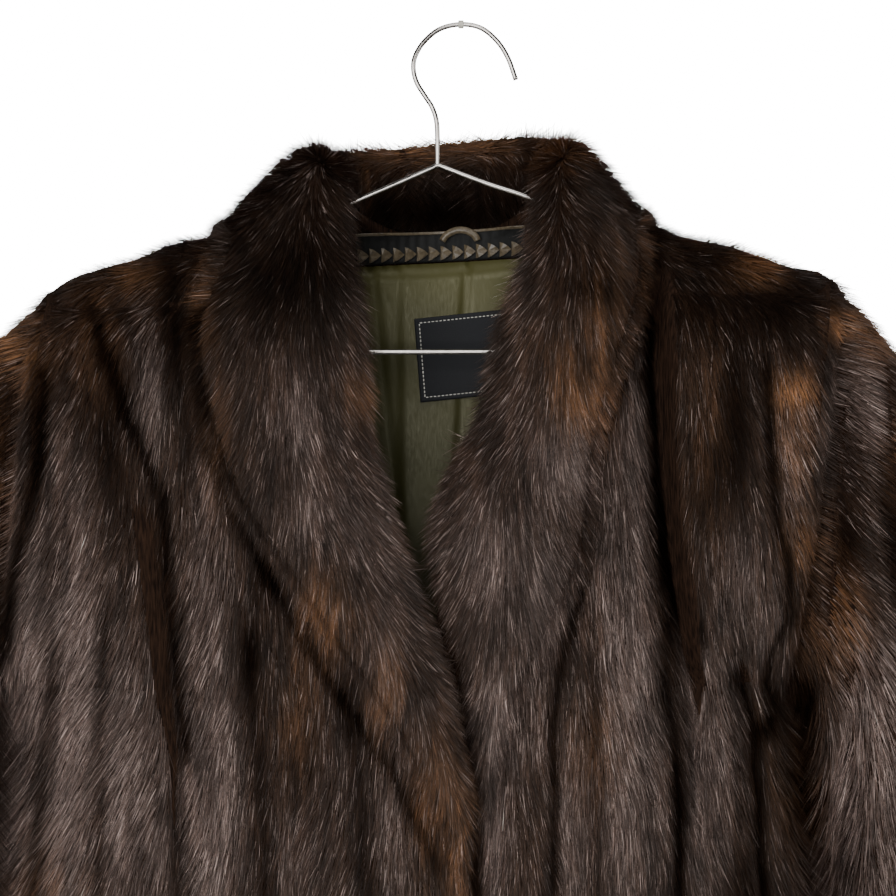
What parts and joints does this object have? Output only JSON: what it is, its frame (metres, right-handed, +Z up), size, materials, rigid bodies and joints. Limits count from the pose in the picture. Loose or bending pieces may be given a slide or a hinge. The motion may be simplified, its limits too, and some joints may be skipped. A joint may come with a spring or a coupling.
{
  "type": "fur coat on a wire hanger",
  "caption": "Dark fur coat with a wide shawl collar, lapped fronts and set-in sleeves, hanging open at neck, cuffs and hem on a wire hanger with a bottom bar",
  "frame": {"origin": "inside of the top of the hanger's hook, where it hangs on a rail or hook", "axes": "+Z up, -Y the coat's front, +X to the right of someone facing the front"},
  "size_m": [0.781, 0.1752, 0.9439],
  "materials": {
    "fur": "long dark brown fur with a grey sheen",
    "fur_collar": "dark brown fur with warm brown edges",
    "satin": "olive satin",
    "ribbon": "dark pleated ribbon",
    "label": "woven, matt",
    "chrome_wire": "polished",
    "band": "pale, smooth"
  },
  "bodies": {
    "root": {"back": "fur", "front_right": "fur", "front_left": "fur", "sleeve_right": "fur", "sleeve_left": "fur", "collar_right": "fur_collar", "collar_left": "fur_collar", "lining_back": "satin", "neck_ribbon": "ribbon", "neck_braid": "satin", "hanging_loop": "satin", "label": "label", "hanger": "chrome_wire", "hook_band": "band"}
  },
  "joints": []
}
